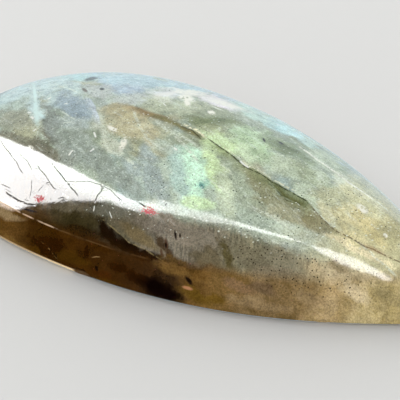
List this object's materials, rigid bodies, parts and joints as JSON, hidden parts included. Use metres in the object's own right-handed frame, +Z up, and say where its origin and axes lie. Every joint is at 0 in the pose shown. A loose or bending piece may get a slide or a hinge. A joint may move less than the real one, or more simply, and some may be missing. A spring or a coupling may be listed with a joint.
{
  "type": "labradorite teardrop cabochon",
  "caption": "Polished labradorite teardrop cabochon with a flat back, a low leaning girdle and a domed top; lies on its back or is set in a bezel.",
  "frame": {"origin": "under the middle of the stone's length and width, on its flat back", "axes": "+X from the round end towards the tip, +Z up from the flat back to the crown of the dome"},
  "size_m": [0.04, 0.023, 0.007],
  "materials": {
    "labradorite": "polished, translucent grey-green feldspar with brown-olive base, cleavage veins and a pale green flash"
  },
  "bodies": {
    "root": {"cabochon": "labradorite"}
  },
  "joints": []
}
